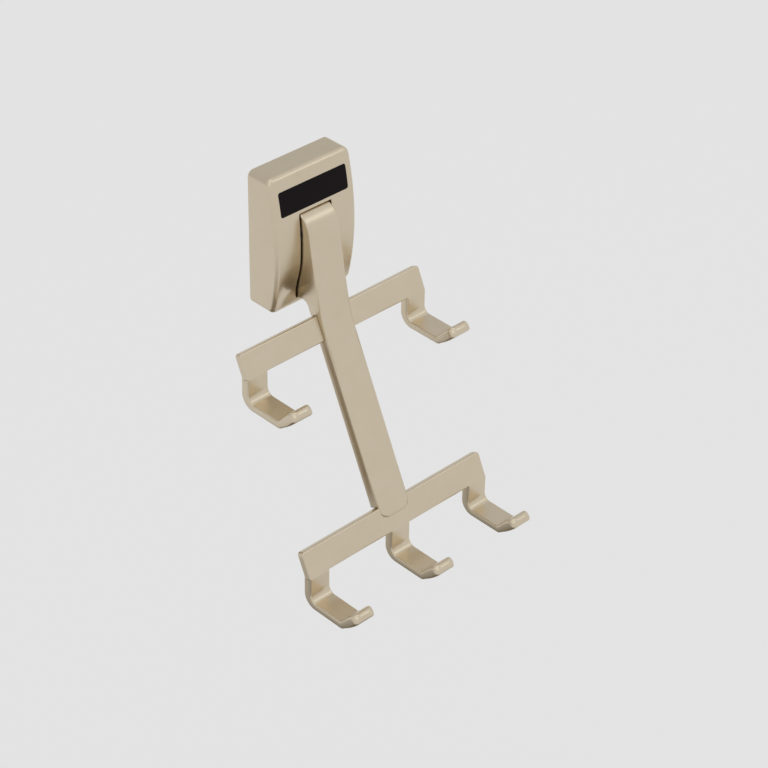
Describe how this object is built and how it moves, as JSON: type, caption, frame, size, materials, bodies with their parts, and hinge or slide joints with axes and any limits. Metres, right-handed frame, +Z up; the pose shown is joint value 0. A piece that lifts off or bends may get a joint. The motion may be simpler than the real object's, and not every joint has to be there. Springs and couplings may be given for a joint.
{
  "type": "belt hook",
  "caption": "Wall-mounted belt hook with a boxy housing, a lift-up arm and two crossbars of upturned hooks in satin nickel.",
  "frame": {"origin": "middle of the housing's back, on the wall plane", "axes": "+X to the right seen from the front, +Y into the wall, +Z up; the front faces -Y"},
  "size_m": [0.1134, 0.1057, 0.1842],
  "materials": {
    "satin_nickel": "satin",
    "zinc_plated_steel": "satin",
    "black_inlay": "matte",
    "rest_rubber": "matte",
    "bush_plastic": "matte"
  },
  "bodies": {
    "base": {"housing": "satin_nickel", "label_inlay": "black_inlay", "wall_plate": "zinc_plated_steel", "left_lock_screw": "zinc_plated_steel", "right_lock_screw": "zinc_plated_steel", "pivot_pin": "zinc_plated_steel", "left_pin_clamp": "zinc_plated_steel", "right_pin_clamp": "zinc_plated_steel", "left_clamp_screw": "zinc_plated_steel", "right_clamp_screw": "zinc_plated_steel", "rest_pad": "rest_rubber", "spring_washer": "zinc_plated_steel"},
    "swing": {"arm": "satin_nickel", "left_bush": "bush_plastic", "right_bush": "bush_plastic", "upper_crossbar": "satin_nickel", "lower_crossbar": "satin_nickel", "upper_screw_left": "zinc_plated_steel", "upper_screw_right": "zinc_plated_steel", "lower_screw_left": "zinc_plated_steel", "lower_screw_right": "zinc_plated_steel"}
  },
  "joints": [
    {"name": "arm_lift", "type": "hinge", "parent": "base", "child": "swing", "pos_m": [0, -0.0132, 0.0032], "axis": [-1, 0, 0], "range_deg": [0, 70]}
  ]
}
